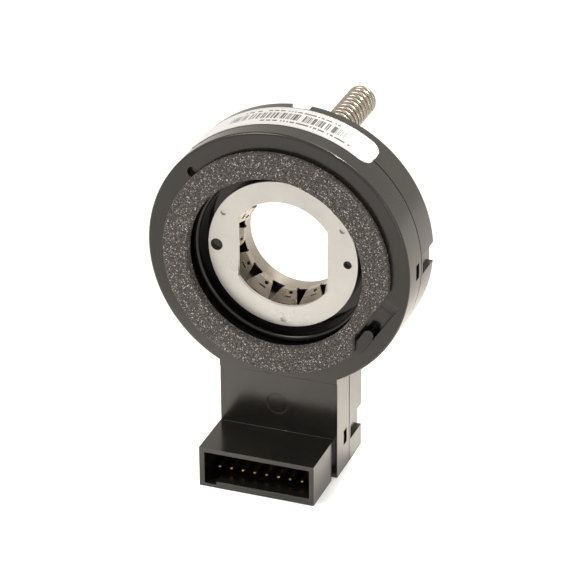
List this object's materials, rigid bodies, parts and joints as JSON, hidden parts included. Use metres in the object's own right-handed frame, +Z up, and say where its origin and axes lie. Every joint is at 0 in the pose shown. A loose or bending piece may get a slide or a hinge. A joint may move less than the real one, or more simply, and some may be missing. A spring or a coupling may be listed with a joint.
{
  "type": "steering angle sensor",
  "caption": "Steering angle sensor: ring-shaped black housing with a shaft rotor, foam seal, connector on a neck below and a coil spring at the back.",
  "frame": {"origin": "on the shaft axis, in the middle of the clip sleeve's plain rear band", "axes": "+Y along the shaft towards the back of the sensor, +Z up away from the connector, +X to the right seen from the front"},
  "size_m": [0.054, 0.0425, 0.0735],
  "materials": {
    "cover_plastic": "moulded, semi-gloss",
    "foam": "open-cell foam",
    "label_paper": "satin sticker",
    "rotor_plastic": "moulded, glossy",
    "plate_steel": "stamped, satin",
    "spring_steel": "rolled strip",
    "gear_plastic": "moulded, natural",
    "magnet": "pressed and sintered",
    "board_laminate": "solder mask",
    "chip_epoxy": "moulded epoxy",
    "can_metal": "pressed can",
    "capacitor_body": "fired",
    "pin_gold": "gold plated",
    "wire_steel": "drawn stainless wire"
  },
  "bodies": {
    "housing": {"front_cover": "cover_plastic", "rear_cover": "cover_plastic", "foam_ring": "foam", "label": "label_paper", "circuit_board": "board_laminate", "angle_chip_a": "chip_epoxy", "angle_chip_b": "chip_epoxy", "controller_chip": "chip_epoxy", "bus_chip": "chip_epoxy", "regulator_chip": "chip_epoxy", "resonator": "can_metal", "coil_spring": "wire_steel", "capacitor_1": "capacitor_body", "capacitor_2": "capacitor_body", "capacitor_3": "capacitor_body", "capacitor_4": "capacitor_body", "terminal_1": "pin_gold", "terminal_2": "pin_gold", "terminal_3": "pin_gold", "terminal_4": "pin_gold", "terminal_5": "pin_gold", "terminal_6": "pin_gold", "terminal_7": "pin_gold", "terminal_8": "pin_gold"},
    "rotor": {"rotor": "rotor_plastic", "rotor_plate": "plate_steel", "clip_sleeve": "spring_steel"},
    "gear_a": {"measuring_gear_a": "gear_plastic", "magnet_a": "magnet"},
    "gear_b": {"measuring_gear_b": "gear_plastic", "magnet_b": "magnet"}
  },
  "joints": [
    {"name": "rotor_spin", "type": "hinge", "parent": "housing", "child": "rotor", "pos_m": [0, 0, 0], "axis": [0, 1, 0], "continuous": true},
    {"name": "gear_a_spin", "type": "hinge", "parent": "housing", "child": "gear_a", "pos_m": [-0.00526, 0, -0.0228], "axis": [0, 1, 0], "continuous": true},
    {"name": "gear_b_spin", "type": "hinge", "parent": "housing", "child": "gear_b", "pos_m": [0.00533, 0, -0.02309], "axis": [0, 1, 0], "continuous": true}
  ],
  "couplings": [
    {"joint": "gear_a_spin", "follows": "rotor_spin", "ratio": -4.5714},
    {"joint": "gear_b_spin", "follows": "rotor_spin", "ratio": -4.2667}
  ]
}
